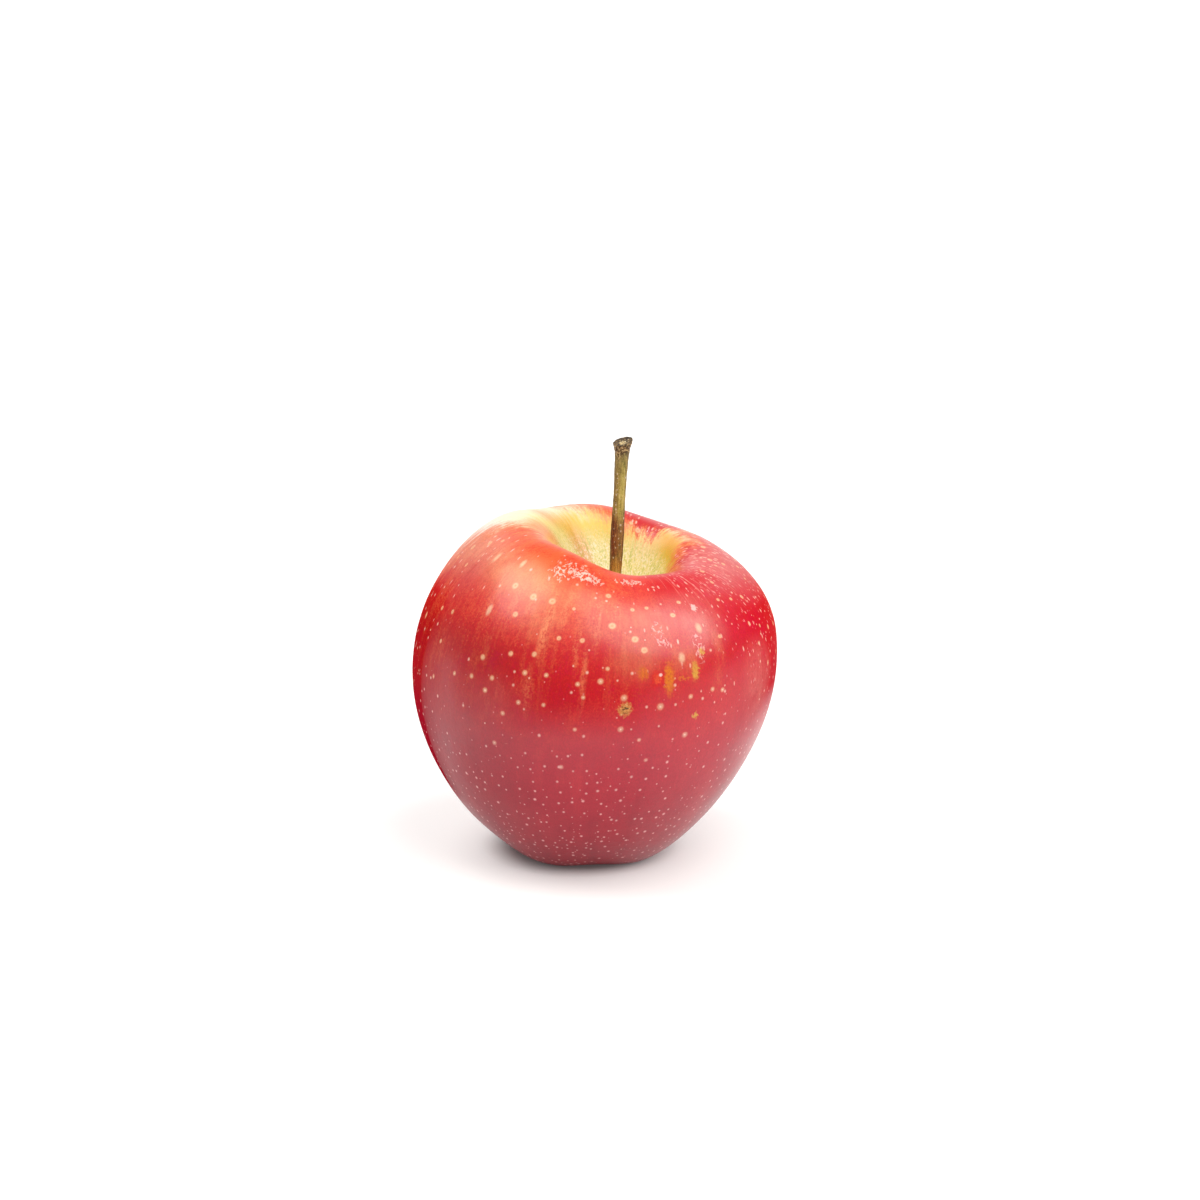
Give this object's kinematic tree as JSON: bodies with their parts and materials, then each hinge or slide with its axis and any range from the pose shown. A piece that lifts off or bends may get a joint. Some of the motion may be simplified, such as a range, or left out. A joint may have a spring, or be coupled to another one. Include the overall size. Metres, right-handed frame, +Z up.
{
  "type": "red apple",
  "caption": "Whole red dessert apple standing on its calyx end, with its stalk and its dried calyx.",
  "frame": {"origin": "on the surface that the apple stands on, under the middle of its bounding box", "axes": "+Z up along the stalk, -Y towards the front of the fruit, +X to the right seen from the front"},
  "size_m": [0.0766, 0.0766, 0.0888],
  "materials": {
    "skin": "waxy red apple skin, glossy, with pale lenticels, orange streaks and a yellow stalk cavity",
    "bark": "matt olive-brown stalk with a rough pale scar on its tip",
    "dry_sepals": "matt dry brown sepals with pale down"
  },
  "bodies": {
    "root": {"fruit": "skin", "stalk": "bark", "calyx": "dry_sepals"}
  },
  "joints": []
}
